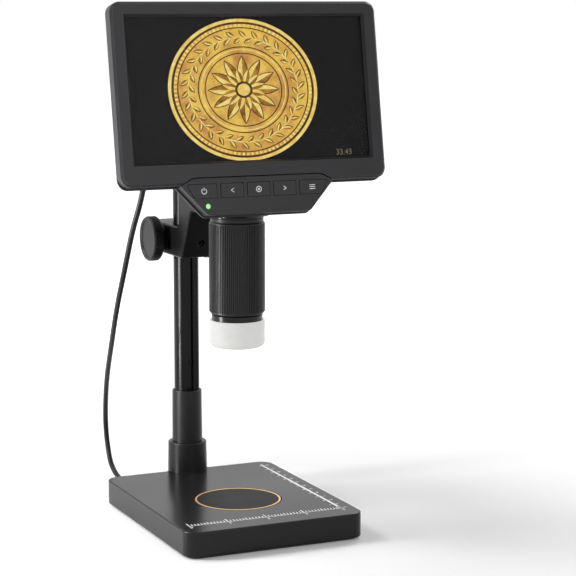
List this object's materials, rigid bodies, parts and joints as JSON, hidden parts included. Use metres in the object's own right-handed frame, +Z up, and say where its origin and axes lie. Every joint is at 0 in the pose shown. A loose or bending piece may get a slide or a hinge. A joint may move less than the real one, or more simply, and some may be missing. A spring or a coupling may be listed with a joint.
{
  "type": "digital microscope with weighing base",
  "caption": "Desk microscope: tilted wide screen with a row of keys above a ribbed focus barrel, racked up and down a round column on a flat scale base with rulers and a round pan.",
  "frame": {"origin": "on the table, under the middle of the base between its front and back edges", "axes": "+X to the right of someone facing the screen, +Y from the front to the column at the back, +Z up"},
  "size_m": [0.174, 0.1966, 0.3294],
  "materials": {
    "shell_black": "satin",
    "plate_black": "matt",
    "rubber_black": "matt",
    "screw_steel": "black zinc",
    "bare_aluminium": "machined",
    "pan_black": "satin",
    "board_green": "solder resist",
    "column_black": "black anodised",
    "casting_black": "satin paint",
    "sleeve_black": "satin",
    "rack_steel": "blackened",
    "nylon": "matt",
    "brass": "machined",
    "shaft_steel": "ground",
    "knob_grey": "satin",
    "bezel_grey": "satin",
    "cover_grey": "fine grain",
    "glass_clear": "clear",
    "panel_black": "glossy",
    "key_grey": "satin",
    "light_green": "diffused",
    "cell_silver": "foil",
    "sensor_black": "glossy",
    "barrel_black": "satin",
    "lamp_white": "diffused",
    "diffuser_white": "frosted",
    "ring_black": "satin",
    "lens_glass": "coated",
    "cord_black": "satin"
  },
  "bodies": {
    "base": {"base_shell": "shell_black", "base_plate": "plate_black", "rubber_pad": "rubber_black", "base_screws": "screw_steel", "load_cell": "bare_aluminium", "cell_screws": "screw_steel", "scale_board": "board_green", "column_socket": "sleeve_black", "column_collar": "sleeve_black", "column": "column_black", "column_bolt": "screw_steel", "column_cap": "sleeve_black", "rack": "rack_steel", "rack_stop": "rack_steel", "rack_screws": "screw_steel", "cord_relief": "cord_black", "data_cord": "cord_black"},
    "pan": {"weighing_pan": "pan_black", "pan_carrier": "sleeve_black", "pan_screw": "screw_steel"},
    "carriage": {"carriage": "casting_black", "friction_pad": "nylon", "tension_screw": "screw_steel", "arm_bolts": "screw_steel", "pinion_bushes": "brass", "front_bezel": "bezel_grey", "display_glass": "glass_clear", "display_panel": "panel_black", "rear_cover": "cover_grey", "cover_screws": "screw_steel", "key_panel": "cover_grey", "key_board": "board_green", "status_light": "light_green", "main_board": "board_green", "battery": "cell_silver", "camera_housing": "cover_grey", "camera_board": "board_green", "image_sensor": "sensor_black", "barrel_flange": "barrel_black", "flange_screws": "screw_steel", "barrel_tube": "barrel_black", "barrel_nose": "barrel_black", "lamp_board": "nylon", "lamps": "lamp_white", "diffuser_cap": "diffuser_white", "cord_plug": "cord_black"},
    "drive": {"pinion": "brass", "pinion_shaft": "shaft_steel", "knob_left": "knob_grey", "knob_right": "knob_grey"},
    "ring": {"focus_ring": "ring_black", "helix_sleeve": "brass"},
    "lens": {"lens_cell": "bare_aluminium", "lenses": "lens_glass"},
    "key_power": {"key_power": "key_grey"},
    "key_left": {"key_left": "key_grey"},
    "key_select": {"key_select": "key_grey"},
    "key_right": {"key_right": "key_grey"},
    "key_menu": {"key_menu": "key_grey"}
  },
  "joints": [
    {"name": "carriage_lift", "type": "slide", "parent": "base", "child": "carriage", "axis": [0, 0, 1], "range_m": [-0.09, 0.06], "deforming": ["data_cord"]},
    {"name": "knob_turn", "type": "hinge", "parent": "carriage", "child": "drive", "pos_m": [0, 0.0859, 0.1735], "axis": [1, 0, 0], "range_deg": [-1080, 720]},
    {"name": "focus_turn", "type": "hinge", "parent": "carriage", "child": "ring", "pos_m": [0, -0.0118, 0.1667], "axis": [0, 0, 1], "range_deg": [-135, 135]},
    {"name": "lens_focus", "type": "slide", "parent": "carriage", "child": "lens", "axis": [0, 0, 1], "range_m": [-0.0026, 0.0026]},
    {"name": "pan_press", "type": "slide", "parent": "base", "child": "pan", "axis": [0, 0, 1], "range_m": [-0.0003, 0], "stiffness_N_per_m": 60000, "deforming": ["load_cell"]},
    {"name": "power_press", "type": "slide", "parent": "carriage", "child": "key_power", "axis": [0, 0.9857, -0.1685], "range_m": [0, 0.0005], "stiffness_N_per_m": 1500},
    {"name": "left_press", "type": "slide", "parent": "carriage", "child": "key_left", "axis": [0, 0.9857, -0.1685], "range_m": [0, 0.0005], "stiffness_N_per_m": 1500},
    {"name": "select_press", "type": "slide", "parent": "carriage", "child": "key_select", "axis": [0, 0.9857, -0.1685], "range_m": [0, 0.0005], "stiffness_N_per_m": 1500},
    {"name": "right_press", "type": "slide", "parent": "carriage", "child": "key_right", "axis": [0, 0.9857, -0.1685], "range_m": [0, 0.0005], "stiffness_N_per_m": 1500},
    {"name": "menu_press", "type": "slide", "parent": "carriage", "child": "key_menu", "axis": [0, 0.9857, -0.1685], "range_m": [0, 0.0005], "stiffness_N_per_m": 1500}
  ],
  "couplings": [
    {"joint": "knob_turn", "follows": "carriage_lift", "rad_per_m": 208.33},
    {"joint": "lens_focus", "follows": "focus_turn", "m_per_rad": 0.001061}
  ]
}
